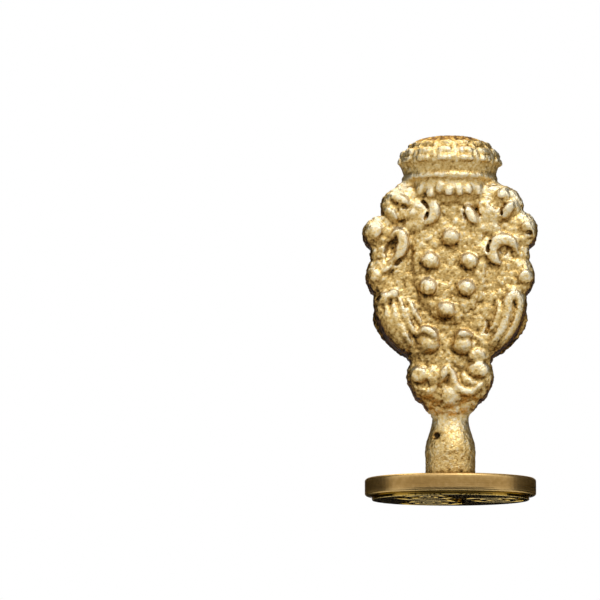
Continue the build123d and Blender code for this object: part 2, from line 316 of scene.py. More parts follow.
# Drapery folds, round and side by side: points, half-width in mm, and rise. One on the right doubles back
# over its top. A fold narrows to a share of its width at its low end, and is full some rows above it.
FOLD_END = 0.7
FOLD_GROWTH = 0.01
FOLDS = [
    ([(379, 305), (381, 321), (390, 338), (405, 355)], 0.66, 0.6),
    ([(386, 302), (389, 320), (398, 337), (410, 352)], 0.66, 0.65),
    ([(393, 299), (397, 317), (405, 334), (415, 348)], 0.66, 0.7),
    ([(400, 296), (405, 312), (412, 327), (420, 339)], 0.66, 0.65),
    ([(408, 298), (414, 310), (421, 322)], 0.6, 0.5),
    ([(487, 350), (496, 337), (504, 321), (507, 306), (509, 297), (514, 292),
      (519, 296), (520, 308), (516, 323), (506, 339), (494, 352)], 0.66, 0.7),
    ([(525, 305), (523, 321), (513, 338), (499, 354)], 0.6, 0.5),
    ([(499, 300), (497, 316), (489, 331)], 0.6, 0.55),
]

# Leaves and patches: pixel, half-length and half-width in mm, fall to the right in degrees, and rise.
# Their foot is wider than their crest.
LEAF_SPREAD = 1.15
LEAVES = [
    ((399.5, 197), (1.45, 0.6), 25, 0.6),
    ((391, 213), (1.25, 0.6), 45, 0.6),
    ((507.5, 209), (1.35, 0.65), -58, 0.7),
    ((376, 230), (1.0, 0.8), -30, 0.5),
    ((375, 273), (0.9, 0.8), 0, 0.4),
    ((526, 275), (1.1, 0.8), 0, 0.45),
    ((384, 296), (0.9, 0.7), -30, 0.6),
    ((393, 292), (0.8, 0.6), 0, 0.5),
    ((419, 373), (1.15, 1.0), 0, 0.5),
    ((477, 355), (1.2, 0.9), 0, 0.5),
    ((479, 368), (1.4, 1.0), 0, 0.55),
    ((433, 374), (0.9, 1.1), 0, 0.4),
    ((451, 415), (0.9, 0.9), 0, 0.4),
]

# Plain round bosses on the shield.
BOSS_RADIUS = 1.3
BOSS_RISE = 1.15
BOSSES = [(451, 236), (430, 259.5), (469, 260), (428, 286), (466, 286.5), (446, 309)]

# Domed knobs below the shield and between the volutes: pixel, radius and rise in mm.
KNOBS = [((429, 342), 1.4, 1.1), ((462, 343), 1.45, 1.1), ((450, 393), 1.4, 0.75)]

# Grooves cut beside the bands: their depth and how high their cutters reach, then points and half-width
# of each, in mm.
GROOVE_DEPTH = 0.65
GROOVE_RISE = 1.3
GROOVES = [
    ([(422, 198), (427, 204), (428, 211), (424, 220)], 0.23),
    ([(464, 203), (464, 212), (468, 221)], 0.22),
    ([(475, 202), (477, 209), (481, 216)], 0.22),
    ([(395, 263), (402, 257)], 0.26),
    ([(488, 252), (488, 244), (491, 238)], 0.22),
    ([(502, 214), (502, 207), (506, 201)], 0.22),
    ([(401, 204), (408, 206)], 0.24),
    ([(525, 232), (529, 230), (531, 234), (528, 240)], 0.24),
    ([(376, 300), (381, 294)], 0.25),
    ([(486, 317), (488, 325), (485, 334)], 0.27),
    ([(462, 312), (469, 310), (472, 306)], 0.2),
]

# Hollows: pixel, half-width, half-height and depth in mm.
HOLLOWS = [
    ((391, 248), (1.0, 1.5), 0.5),
    ((504, 248), (0.6, 0.9), 0.4),
    ((428, 334), (0.28, 0.28), 0.4),
]

# Casting flaw at the top of the foot: place and radii, and how far its stain spreads.
FOOT_PIT = ((-2.12, -2.45, 8.9), (0.72, 0.6, 0.55))
FOOT_PIT_STAIN = 0.9

# Crown: its panels, and its profile as radius and height: the stem down into the casting, and the ground
# between the ribs from the rim up. Its top stays a little below the frame's.
CROWN_PANELS = 14
CROWN_TURN = radians(-6)
CROWN_WAIST = 6.15
CROWN_STEM = [(0, 39.0), (2.5, 39.0), (5.3, 41.5), (CROWN_WAIST, 43.4), (CROWN_WAIST, 44.7)]
CROWN_PROFILE = [
    (6.3, 45.2), (6.65, 46.4), (7.0, 47.4), (6.95, 48.0), (6.35, 48.9), (5.25, 50.0), (3.5, 50.95),
]
CROWN_DIP = 0.25

# Ribs, bricks and rim roll of the crown. A brick row is its height and half-height, and a brick fills
# a share of its panel. Ribs and bricks are sunk a little into the ground.
RIB_RADIUS = 0.4
RIB_SINK = 0.22
BRICK_ROWS = [(47.5, 0.4), (48.6, 0.52), (49.75, 0.36)]
BRICK_HALF_DEPTH = 0.45
BRICK_SHARE = 0.62
BRICK_SINK = 0.04
BLOCK_ROUND = 0.2
RIM_RADIUS = 6.35
RIM_ROLL = 0.42
RIM_Z = 45.15

# Fringe below the rim: column and half-width of each block in pixels. The blocks' half-heights and lifts
# in mm go by twos, their drops in mm and tilts in degrees by threes, so that they hang unevenly.
FRINGE_ROW = 190
FRINGE = [
    (411, 3.0), (420, 3.4), (430, 3.6), (440, 3.0), (449, 3.6),
    (459, 3.2), (469, 3.7), (479, 3.2), (488, 3.0),
]
FRINGE_SINK = 0.22
FRINGE_HALF_DEPTH = 0.5
FRINGE_HALF_HEIGHTS = (0.55, 0.7)
FRINGE_LIFTS = (0, 0.3)
FRINGE_DROPS = (0, 0.22, 0.44)
FRINGE_TILTS = (-20, 0, 20)


def crown_angle(panels):
    """Direction this many panels round from the front."""
    return panels * 2 * pi / CROWN_PANELS - pi / 2 + CROWN_TURN


def crown_place(z):
    """Radius of the crown's ground at a height, and how far it leans inward there."""
    for (r0, z0), (r1, z1) in zip(CROWN_PROFILE, CROWN_PROFILE[1:]):
        if z0 <= z <= z1:
            share = (z - z0) / (z1 - z0)
            return r0 + (r1 - r0) * share, (r0 - r1) / (z1 - z0)
    return CROWN_PROFILE[-1][0], 1


def crown_ground():
    return lathe(CROWN_STEM + CROWN_PROFILE + [(0, CROWN_TOP_Z - CROWN_DIP)], "crown_ground")


def crown_ribs():
    pieces = []
    for k in range(CROWN_PANELS):
        angle = crown_angle(k + 0.5)
        points = []
        for radius, z in CROWN_PROFILE[1:]:
            points.append(((radius - RIB_SINK) * cos(angle), (radius - RIB_SINK) * sin(angle), z))
        pieces.append(strand(points, [RIB_RADIUS] * len(points)))
    return pieces


def block(radius, angle, z, half, lean, tilt=0):
    """Rounded block of these half-sizes at a radius, angle and height, leaning inward and tilted."""
    bpy.ops.mesh.primitive_cube_add(size=2)
    made = bpy.context.object
    made.scale = half
    settle(made)
    modify(made, "BEVEL", width=BLOCK_ROUND, segments=3)
    made.rotation_euler = (tilt, -lean, angle)
    made.location = (radius * cos(angle), radius * sin(angle), z)
    return made


def crown_bricks():
    """Rows of rounded bricks between the ribs, and the rim roll."""
    pieces = []
    for k in range(CROWN_PANELS):
        for z, tall in BRICK_ROWS:
            radius, lean = crown_place(z)
            half = (BRICK_HALF_DEPTH, radius * pi / CROWN_PANELS * BRICK_SHARE, tall)
            pieces.append(block(radius - BRICK_SINK, crown_angle(k), z, half, atan(lean)))
    bpy.ops.mesh.primitive_torus_add(
        major_radius=RIM_RADIUS, minor_radius=RIM_ROLL, major_segments=96, minor_segments=12,
        location=(0, 0, RIM_Z),
    )
    pieces.append(bpy.context.object)
    return pieces


def fringe():
    """Uneven blocks that hang round the waist under the crown's rim."""
    pieces = []
    height = FOOT_Z + (FOOT_ROW - FRINGE_ROW) * PIXEL_MM - LOOK_UP * CROWN_WAIST
    for k, (column, wide) in enumerate(FRINGE):
        angle = asin((column - AXIS_COLUMN) * PIXEL_MM / CROWN_WAIST) - pi / 2
        half = (FRINGE_HALF_DEPTH, wide * PIXEL_MM, FRINGE_HALF_HEIGHTS[k % 2])
        z = height + FRINGE_LIFTS[k % 2] - FRINGE_DROPS[k % 3]
        tilt = radians(FRINGE_TILTS[k % 3])
        pieces.append(block(CROWN_WAIST - FRINGE_SINK, angle, z, half, 0, tilt))
    return pieces


# Foot and neck, as radius and height, and the stud's hole in them. The foot's base just clears the die.
FOOT_LIFT = 0.02
FOOT_BASE_Z = FOOT_Z + FOOT_LIFT
FOOT_PROFILE = [
    (3.4, FOOT_BASE_Z), (3.5, 3.3), (3.5, 5.6), (3.56, 6.8), (3.44, 7.8), (3.2, 8.7), (2.9, 9.6),
    (2.65, 10.4), (2.54, 11.0), (2.54, 11.4), (2.65, 11.9), (2.9, 12.4), (3.2, 13.0), (3.4, 14.0),
]
NECK_TOP_Z = 14.5
HOLE_RADIUS = 2.2
HOLE_ROOM = 0.2
HOLE_TOP_Z = STUD_HIGH.z / MM + HOLE_ROOM


def foot():
    """Round foot with the stud's hole, up into the neck."""
    hole = [(0, HOLE_TOP_Z), (HOLE_RADIUS, HOLE_TOP_Z), (HOLE_RADIUS, FOOT_BASE_Z)]
    return lathe(hole + FOOT_PROFILE + [(0, NECK_TOP_Z)], "foot")


def relief():
    """Bands, folds, leaves, knobs, bosses and fringe of the front."""
    pieces = []
    for path, widths, rise in BANDS:
        spread = [BAND_SPREAD * width for width in widths]
        pieces.append(draped(strand(spots(path), spread), rise * BAND_LIFT, CREST_FLAT))
    for path, width, rise in FOLDS:
        low_row = max(row for _, row in path)
        widths = [width * min(1, FOLD_END + FOLD_GROWTH * (low_row - row)) for _, row in path]
        pieces.append(draped(strand(spots(path), widths), rise, CREST_FLAT))
    for at, (long, wide), fall, rise in LEAVES:
        leaf = lump(spot(*at), (LEAF_SPREAD * long, 1, LEAF_SPREAD * wide), fall)
        pieces.append(draped(leaf, rise * BAND_LIFT, CREST_FLAT))
    for at, radius, rise in KNOBS + [(at, BOSS_RADIUS, BOSS_RISE) for at in BOSSES]:
        pieces.append(draped(lump(spot(*at), (radius, 1, radius)), rise))
    return pieces + fringe()


def hollows():
    """Cutters of the grooves and hollows of the front. A groove is as wide at its ends as between them."""
    cutters = []
    for path, width in GROOVES:
        end = width / END_TAPER
        slot = strand(spots(path), [end] + [width] * (len(path) - 2) + [end])
        cutters.append(draped(slot, GROOVE_RISE, CREST_FLAT, GROOVE_RISE - GROOVE_DEPTH))
    for at, (wide, tall), deep in HOLLOWS:
        cutters.append(draped(lump(spot(*at), (wide, 1, tall)), deep))
    return cutters


def copied_behind(pieces):
    """The same pieces turned to the back of the stamp."""
    copies = []
    for piece in pieces:
        select([piece])
        bpy.ops.object.duplicate()
        copies.append(bpy.context.object)
    behind = join(copies, "relief_behind")
    behind.rotation_euler = (0, 0, pi)
    return behind


def cut(piece, cutters):
    """Takes the cutters' joint form out of the piece."""
    tool = join(cutters, "cutter")
    modify(tool, "REMESH", mode="VOXEL", voxel_size=CAST_VOXEL * CUTTER_SHARE)
    modify(piece, "BOOLEAN", operation="DIFFERENCE", solver="MANIFOLD", object=tool)
    select([tool])
    bpy.ops.object.delete()


# Heights that part the casting: its foot's skin ends, its plate begins and ends, its crown begins.
FOOT_SKIN_Z = 13
PLATE_LOW_Z = 12.5
PLATE_HIGH_Z = 43.5
CROWN_LOW_Z = 44.3

# Grain of the sand mould: pattern, depth and size of its layers, and how much of it each place shows.
# On the plate it fades as the relief rises, and on the foot it grows towards the neck.
GRAIN_LAYERS = [("CLOUDS", 0.32, 1.0), ("VORONOI", -0.22, 0.8), ("CLOUDS", 0.2, 0.3)]
WEIGHT_STEPS = 10
GROUND_GRAIN = 1.3
GRAIN_FADE = 1.5
CREST_GRAIN = 0.2
BOSS_GRAIN = 0.6
CROWN_GRAIN = 0.5
FOOT_GRAIN = 0.45
FOOT_GRAIN_GROWTH = 0.3
FOOT_GRAIN_Z = 10.5


def keep_weights(piece, name, weights):
    """Stores one weight a point, in even steps."""
    group = piece.vertex_groups.new(name=name)
    steps = np.round(np.clip(weights, 0, 1) * WEIGHT_STEPS).astype(int)
    for step in range(1, WEIGHT_STEPS + 1):
        group.add(np.flatnonzero(steps == step).tolist(), step / WEIGHT_STEPS, "REPLACE")


def cast_grain(piece, kind, depth, size, group):
    """Roughens a casting's skin with a cloudy or a grainy pattern, by the weights of a group."""
    grain = bpy.data.textures.new(group, kind)
    grain.noise_scale = size
    modify(
        piece, "DISPLACE", texture=grain, texture_coords="LOCAL", strength=depth, mid_level=0.5,
        vertex_group=group,
    )


def on_boss(places):
    """Whether each place in mm lies on one of the shield's bosses, in front or behind."""
    x, y, z = places.T
    across = np.where(y < 0, x, -x)
    reach = [np.hypot(across - boss.x, z - boss.z) for boss in spots(BOSSES)]
    return np.min(reach, axis=0) < BOSS_RADIUS


def rough_skin(piece):
    """Grain of the sand mould: full on the ground, slight on the rubbed relief and on the foot."""
    places, _ = corners(piece)
    x, y, z = places.T
    proud = abs(y) - front(x, z)
    on_plate = np.clip(GROUND_GRAIN - GRAIN_FADE * proud, CREST_GRAIN, 1)
    on_plate = np.where(on_boss(places), np.maximum(on_plate, BOSS_GRAIN), on_plate)
    on_foot = np.clip(FOOT_GRAIN + FOOT_GRAIN_GROWTH * (z - FOOT_GRAIN_Z), FOOT_GRAIN, 1)
    weights = np.where(z > CROWN_LOW_Z, CROWN_GRAIN, np.where(z < FOOT_SKIN_Z, on_foot, on_plate))
    keep_weights(piece, "ground", weights)
    for kind, depth, size in GRAIN_LAYERS:
        cast_grain(piece, kind, depth, size, "ground")


def casting():
    """The handle: base form and relief, fused, cut, softened and roughened."""
    raised = relief()
    base = [pad(*form) for form in PADS] + [foot(), crown_ground()] + crown_ribs() + crown_bricks()
    whole = join(base + [copied_behind(raised)] + raised, "cast_handle")
    fuse(whole, CAST_VOXEL, CAST_ROUNDS)
    cutters = hollows()
    cut(whole, cutters + [copied_behind(cutters), lump(*FOOT_PIT)])
    fuse(whole, CAST_VOXEL, CAST_ROUNDS)
    rough_skin(whole)
    return whole


# Stud: the thread's pitch and depth, how far its ridge stays inside the rod, the chamfer, and the mesh.
THREAD_PITCH = 0.7
THREAD_DEPTH = 0.36
THREAD_SLACK = 0.03
THREAD_STEPS = 16
STUD_CHAMFER = 0.3
STUD_VOXEL = 0.07
STUD_ROUNDS = 2


def threaded_stud():
    """Steel stud: a core with chamfered ends and one long helical ridge."""
    low, high = STUD_LOW.z / MM, STUD_HIGH.z / MM
    ridge_low, ridge_high = low + STUD_CHAMFER, high - STUD_CHAMFER
    core = STUD_RADIUS - THREAD_DEPTH
    tip = core - STUD_CHAMFER
    profile = [(0, low), (tip, low), (core, ridge_low), (core, ridge_high), (tip, high), (0, high)]
    turns = (high - low - 2 * STUD_CHAMFER) / THREAD_PITCH
    count = int(THREAD_STEPS * turns)
    points = []
    for k in range(count + 1):
        angle = 2 * pi * turns * k / count
        points.append((core * cos(angle), core * sin(angle), ridge_low + THREAD_PITCH * angle / 2 / pi))
    ridge = strand(points, [THREAD_DEPTH - THREAD_SLACK] * len(points), "thread")
    stud = join([lathe(profile, "core", steps=48), ridge], "threaded_stud")
    fuse(stud, STUD_VOXEL, STUD_ROUNDS)
    return stud


# Die: its mesh, the height within which its face is trued, and the height that its engraving stays below.
DIE_VOXEL = 0.13
DIE_ROUNDS = 3
FACE_TRUED = 0.05
ENGRAVED_Z = 0.6


def engraved_die():
    """The die, with the edges of its engraving softened as by polishing, and its face trued flat."""
    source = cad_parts["seal_die"]
    die = bpy.data.objects.new("engraved_die", source.data.copy())
    bpy.context.collection.objects.link(die)
    weld(die, WELD_GAP * MM)
    fuse(die, DIE_VOXEL * MM, DIE_ROUNDS)
    places, _ = corners(die)
    places[places[:, 2] < FACE_TRUED * MM, 2] = 0
    move_corners(die, places)
    return die


def finished(piece, body, node):
    """Settles a piece in the frame, and lets it stand for its node."""
    settle(piece)
    bpy.ops.object.shade_smooth()
    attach(piece, body)
    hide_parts(node)


# Wear of a metal with painted shade, from 0 in the crevices, dark there by tarnish and by painted shade, to
# 1 where it is rubbed:
# its value on the flats, and the rounds of smoothing that show how far a point stands out near by and at
# large.
FLAT_WEAR = 0.5
NEAR_ROUNDS = 10
FAR_ROUNDS = 100

# What rubbing adds to the casting's wear at its crests, and the painted light that lightens it where it
# faces up or right, at its top, neck and waist, as the light falls there.
CREST_WEAR = 0.07
BOSS_UPWARD_LIGHT = 0.65
PLATE_UPWARD_LIGHT = 0.38
UPWARD_LIGHT = 0.14
RIGHTWARD_LIGHT = 0.25
TOP_LIGHT = 0.06
NECK_LIGHT = 0.2
WAIST_LIGHT = 0.1

# What tarnish takes from it at the crown and the pit, what painted shade takes at its sideways edges and
# from the walls of the engraving, and a painted shadow at its base.
CROWN_TARNISH = 0.45
EDGE_SHADE = 0.36
BASE_SHADOW = 0.6
PIT_TARNISH = 0.5
WALL_SHADE = 0.4

# Where these begin, and the span to their full strength: a rise or height in mm, or a facing up to 1.
CREST_RISE = (0.3, 0.4)
TOP_Z = (34, 6)
BASE_Z = (4.2, -0.9)
EDGE_FACING = (0.62, -0.4)
CROWN_FACING = (0.6, 0.35)
WALL_FACING = (0.93, -0.4)

# Bands of painted light at the neck and the waist: height of the middle and spread, in mm.
NECK_LIGHT_BAND = (12, 2.2)
WAIST_LIGHT_BAND = (44, 0.9)


def ramped(value, start, span):
    """How much of the span from its start a value has covered, from 0 to 1. A falling span is negative."""
    return np.clip((value - start) / span, 0, 1)


def banded(z, middle, spread):
    """1 at the middle of a band, fading above and below."""
    return np.exp(-((z - middle) / spread) ** 2)


def smoothed(piece, rounds):
    """Places and normals of a smoothed copy of a piece."""
    select([piece])
    bpy.ops.object.duplicate()
    copy = bpy.context.object
    smooth(copy, rounds)
    result = corners(copy)
    bpy.ops.object.delete()
    return result


def stands_out(piece, smooth_places):
    """How far each point stands above its smoothed place, in mm."""
    places, normals = corners(piece)
    return ((places - smooth_places) * normals).sum(axis=1) / MM


def add_wear_and_shade(piece, fine, broad, near_shift=None, far_shift=None):
    """Stores a metal's wear with painted shade: paler where it stands out, darker in its crevices partly as
    painted shade, by the heights near by and at large that count as full, plus the shifts given on the near
    and far smoothed copies.
    """
    near, near_facing = smoothed(piece, NEAR_ROUNDS)
    far, far_facing = smoothed(piece, FAR_ROUNDS)
    # Crevices come out darker, partly as tarnish and partly as painted shade.
    wear_and_shade = FLAT_WEAR + stands_out(piece, near) / fine + stands_out(piece, far) / broad
    for shade, places, facing in ((near_shift, near, near_facing), (far_shift, far, far_facing)):
        if shade:
            wear_and_shade += shade(places / MM, facing)
    stored = piece.data.attributes.new("wear_and_shade", "FLOAT", "POINT")
    stored.data.foreach_set("value", np.clip(wear_and_shade, 0, 1))


def rubbed_and_lit(places, facing):
    """Wear at the casting's crests, and painted light: lighter where it faces up or right, at its top, neck
    and waist.
    """
    x, y, z = places.T
    proud = abs(y) - front(x, z)
    on_plate = (z > PLATE_LOW_Z) & (z < PLATE_HIGH_Z)
    crest = np.where(on_plate, CREST_WEAR * ramped(proud, *CREST_RISE), 0)
    # Painted light: lighter where it faces up, most on the bosses, and on the plate's flanks turned to one
    # side.
    upward = np.where(on_plate, PLATE_UPWARD_LIGHT, UPWARD_LIGHT)
    upward = np.where(on_boss(places), BOSS_UPWARD_LIGHT, upward) * facing[:, 2]
    rightward = np.where(on_plate, RIGHTWARD_LIGHT, 0) * -facing[:, 0] * facing[:, 1]
    # Painted light: lighter towards the top, and in bands at the neck and the waist.
    at_top = TOP_LIGHT * ramped(z, *TOP_Z)
    at_neck = NECK_LIGHT * banded(z, *NECK_LIGHT_BAND)
    at_waist = WAIST_LIGHT * banded(z, *WAIST_LIGHT_BAND)
    return crest + upward + rightward + at_top + at_neck + at_waist


def tarnish_and_shade(places, facing):
    """Where the casting is darker: tarnish on the top of its crown and in its pit, painted shade on the
    edges that face sideways, and a painted shadow at its base.
    """
    z = places[:, 2]
    # Painted shadow at the base; the pit's stain is tarnish.
    at_base = BASE_SHADOW * ramped(z, *BASE_Z)
    from_pit = ((places - FOOT_PIT[0]) ** 2).sum(axis=1)
    in_pit = PIT_TARNISH * np.exp(-from_pit / FOOT_PIT_STAIN ** 2)
    # Painted shade on the edges that face sideways; the crown's top is tarnish.
    on_edge = EDGE_SHADE * ramped(abs(facing[:, 1]), *EDGE_FACING)
    on_crown = CROWN_TARNISH * ramped(facing[:, 2], *CROWN_FACING)
    return -np.where(z > CROWN_LOW_Z, on_crown, np.where(z > PLATE_LOW_Z, on_edge, at_base + in_pit))


def shaded_walls(places, facing):
    """Painted shade: the walls of the engraving are browner than its floor and the field."""
    steep = ramped(abs(facing[:, 2]), *WALL_FACING)
    return np.where(places[:, 2] < ENGRAVED_Z, -WALL_SHADE * steep, 0)


def node(tree, kind, at, **settings):
    made = tree.nodes.new(kind)
    made.location = at
    for key, value in settings.items():
        setattr(made, key, value)
    return made


def put(made, values):
    """Sets a node's inputs by name."""
    for name, value in values.items():
        made.inputs[name].default_value = value


def shaded(name):
    """A new material, its nodes and its shader."""
    material = bpy.data.materials.new(name)
    material.use_nodes = True
    tree = material.node_tree
    return material, tree, tree.nodes["Principled BSDF"]


# Specular level of every metal.
SHINE_LEVEL = 0.2


def metal(name, metallic, edge_tint):
    """A metal's material, its nodes and shader, and what its finish goes by: the place and its wear with
    painted light and shade.
    """
    material, tree, shader = shaded(name)
    put(shader, {"Metallic": metallic, "Specular Tint": (*edge_tint, 1), "Specular IOR Level": SHINE_LEVEL})
    place = node(tree, "ShaderNodeTexCoord", (-1500, 0)).outputs["Object"]
    wear_and_shade = node(tree, "ShaderNodeAttribute", (-1200, 300), attribute_name="wear_and_shade").outputs["Fac"]
    return material, tree, shader, place, wear_and_shade


def ramp(tree, source, at, stops):
    """Colour by a value, through stops of position and colour."""
    made = node(tree, "ShaderNodeValToRGB", at)
    tree.links.new(source, made.inputs["Fac"])
    elements = made.color_ramp.elements
    for element, (position, colour) in zip(elements, (stops[0], stops[-1])):
        element.position = position
        element.color = (*colour, 1)
    for position, colour in stops[1:-1]:
        elements.new(position).color = (*colour, 1)
    return made.outputs["Color"]


def noise(tree, source, at, scale, detail):
    made = node(tree, "ShaderNodeTexNoise", at)
    put(made, {"Scale": scale, "Detail": detail})
    tree.links.new(source, made.inputs["Vector"])
    return made.outputs["Fac"]


def stretched(tree, source, at, low, high, start=0, full=1):
    """Takes a value from start..full to low..high."""
    made = node(tree, "ShaderNodeMapRange", at)
    put(made, {"From Min": start, "From Max": full, "To Min": low, "To Max": high})
    tree.links.new(source, made.inputs["Value"])
    return made.outputs["Result"]


def combined(tree, first, second, at, operation="ADD"):
    made = node(tree, "ShaderNodeMath", at, operation=operation)
    tree.links.new(first, made.inputs[0])
    tree.links.new(second, made.inputs[1])
    return made.outputs[0]


def blended(tree, kind, at, share, first, second):
    """Goes from one colour or value to another by a share."""
    made = node(tree, "ShaderNodeMix", at, data_type=kind)
    tree.links.new(share, made.inputs["Factor"])
    tree.links.new(first, made.inputs["A"])
    tree.links.new(second, made.inputs["B"])
    return made.outputs["Result"]


def bumped(tree, shader, height, at, strength, depth):
    made = node(tree, "ShaderNodeBump", at)
    put(made, {"Strength": strength, "Distance": depth})
    tree.links.new(height, made.inputs["Height"])
    tree.links.new(made.outputs["Normal"], shader.inputs["Normal"])


# Gilt: patterns as scale and detail, how far each moves the wear, where a pit begins and is full,
# roughness, bump as strength and depth in metres, and tones from the crevices to the crests.
GILT_SPECKS = (2400, 3)
GILT_CLOUDS = (260, 2)
GILT_PITS = (1150, 1)
GILT_GRAIN = (3600, 2)
GILT_SPECK_RANGE = (-0.42, 0.44)
GILT_CLOUD_RANGE = (-0.08, 0.08)
GILT_PIT_RANGE = (-0.18, 0)
GILT_PIT_EDGE = (0.3, 0.37)
GILT_ROUGHNESS = (0.2, 0.42)
GILT_BUMP = (0.6, 0.0002)
GILT_TONES = [
    (0.0, (0.03, 0.018, 0.008)),
    (0.12, (0.17, 0.095, 0.025)),
    (0.27, (0.37, 0.215, 0.06)),
    (0.44, (0.65, 0.42, 0.135)),
    (0.6, (0.83, 0.61, 0.26)),
    (0.8, (0.88, 0.77, 0.53)),
]


def gilt():
    """Antique gilt: pale where rubbed and where painted light falls, warm on the flats, brown in the
    crevices by tarnish and painted shade, speckled all over.
    """
    material, tree, shader, place, wear_and_shade = metal(
        "gilt_casting", metallic=0.75, edge_tint=(0.3, 0.2, 0.1)
    )
    speck = noise(tree, place, (-1200, 0), *GILT_SPECKS)
    cloud = noise(tree, place, (-1200, -250), *GILT_CLOUDS)
    pit = noise(tree, place, (-1200, -450), *GILT_PITS)
    specks = stretched(tree, speck, (-1000, 0), *GILT_SPECK_RANGE)
    clouds = stretched(tree, cloud, (-1000, -250), *GILT_CLOUD_RANGE)
    pits = stretched(tree, pit, (-1000, -450), *GILT_PIT_RANGE, *GILT_PIT_EDGE)
    mottled = combined(tree, wear_and_shade, specks, (-800, 250))
    mottled = combined(tree, mottled, clouds, (-620, 250))
    mottled = combined(tree, mottled, pits, (-530, 150))
    tree.links.new(ramp(tree, mottled, (-440, 300), GILT_TONES), shader.inputs["Base Color"])
    tree.links.new(stretched(tree, speck, (-700, -100), *GILT_ROUGHNESS), shader.inputs["Roughness"])
    bumped(tree, shader, noise(tree, place, (-600, -350), *GILT_GRAIN), (-300, -250), *GILT_BUMP)
    return material


# Brass: patterns as scale and detail, the stretch of the turning marks, how far specks and clouds move the
# wear, the heights in metres between which the polished face gives way to the wall, roughness, bump, tones.
BRASS_SPECKS = (1700, 3)
BRASS_CLOUDS = (180, 2)
TURNING_MARKS = (1, 4)
TURNING_STRETCH = (60, 60, 9000)
BRASS_SPECK_RANGE = (-0.1, 0.1)
BRASS_CLOUD_RANGE = (-0.1, 0.1)
WALL_FROM = (0.00045, 0.0007)
FACE_ROUGHNESS = (0.05, 0.14)
WALL_ROUGHNESS = (0.2, 0.4)
TURNING_BUMP = (0.25, 0.00004)
POLISHED_TONES = [
    (0.1, (0.3, 0.17, 0.025)),
    (0.42, (0.78, 0.53, 0.12)),
    (0.55, (0.93, 0.67, 0.28)),
    (0.8, (0.97, 0.82, 0.42)),
]
SATIN_TONES = [(0.1, (0.1, 0.06, 0.02)), (0.5, (0.4, 0.237, 0.075)), (0.72, (0.68, 0.45, 0.18))]


def brass():
    """Brass of the die: polished face, satin turned wall and back, rubbed pale, darker in its crevices
    partly as painted shade and on the engraving's walls as painted shade, specked with tarnish.
    """
    material, tree, shader, place, wear_and_shade = metal(
        "die_brass", metallic=0.9, edge_tint=(0.4, 0.28, 0.12)
    )
    speck = noise(tree, place, (-1200, 0), *BRASS_SPECKS)
    cloud = noise(tree, place, (-1200, -250), *BRASS_CLOUDS)
    specks = stretched(tree, speck, (-1000, 0), *BRASS_SPECK_RANGE)
    clouds = stretched(tree, cloud, (-1000, -250), *BRASS_CLOUD_RANGE)
    mottled = combined(tree, wear_and_shade, specks, (-800, 250))
    polished = ramp(tree, mottled, (-440, 450), POLISHED_TONES)
    satin = ramp(tree, combined(tree, mottled, clouds, (-620, 100)), (-440, 150), SATIN_TONES)
    height = node(tree, "ShaderNodeSeparateXYZ", (-1200, -500))
    tree.links.new(place, height.inputs[0])
    on_wall = stretched(tree, height.outputs["Z"], (-900, -500), 0, 1, *WALL_FROM)
    tone = blended(tree, "RGBA", (-150, 300), on_wall, polished, satin)
    tree.links.new(tone, shader.inputs["Base Color"])
    stretch = node(tree, "ShaderNodeMapping", (-1200, -750))
    put(stretch, {"Scale": TURNING_STRETCH})
    tree.links.new(place, stretch.inputs["Vector"])
    turned = noise(tree, stretch.outputs["Vector"], (-1000, -750), *TURNING_MARKS)
    on_face = stretched(tree, speck, (-500, -50), *FACE_ROUGHNESS)
    beside = stretched(tree, turned, (-500, -300), *WALL_ROUGHNESS)
    roughness = blended(tree, "FLOAT", (-300, -100), on_wall, on_face, beside)
    tree.links.new(roughness, shader.inputs["Roughness"])
    marks = combined(tree, turned, on_wall, (-700, -700), "MULTIPLY")
    bumped(tree, shader, marks, (-300, -400), *TURNING_BUMP)
    return material


# Steel: pattern as scale and detail, how far it moves the wear, roughness, bump and tones.
STEEL_SPECKS = (1500, 3)
STEEL_SPECK_RANGE = (-0.15, 0.15)
STEEL_ROUGHNESS = (0.25, 0.45)
STEEL_BUMP = (0.2, 0.00005)
STEEL_TONES = [(0.15, (0.2, 0.19, 0.17)), (0.5, (0.52, 0.51, 0.47)), (0.8, (0.78, 0.77, 0.73))]


def steel():
    """Zinc-plated steel of the stud: bright crests, roots dulled partly by painted shade, faint yellow
    bloom.
    """
    material, tree, shader, place, wear_and_shade = metal(
        "stud_steel", metallic=1, edge_tint=(0.8, 0.8, 0.8)
    )
    speck = noise(tree, place, (-1200, 0), *STEEL_SPECKS)
    specks = stretched(tree, speck, (-1000, 0), *STEEL_SPECK_RANGE)
    mottled = combined(tree, wear_and_shade, specks, (-800, 250))
    tree.links.new(ramp(tree, mottled, (-440, 300), STEEL_TONES), shader.inputs["Base Color"])
    tree.links.new(stretched(tree, speck, (-700, -100), *STEEL_ROUGHNESS), shader.inputs["Roughness"])
    bumped(tree, shader, speck, (-300, -250), *STEEL_BUMP)
    return material


def paint(piece, material):
    piece.data.materials.clear()
    piece.data.materials.append(material)


handle = casting()
stud = threaded_stud()
for piece in (handle, stud):
    piece.scale = (MM, MM, MM)
die = engraved_die()
finished(handle, "handle", "handle")
finished(stud, "stud", "stud")
finished(die, "die", "seal_die")
add_wear_and_shade(handle, fine=0.38, broad=3.0, near_shift=rubbed_and_lit, far_shift=tarnish_and_shade)
add_wear_and_shade(stud, fine=0.3, broad=1.0)
add_wear_and_shade(die, fine=0.3, broad=0.8, near_shift=shaded_walls)
paint(handle, gilt())
paint(stud, steel())
paint(die, brass())

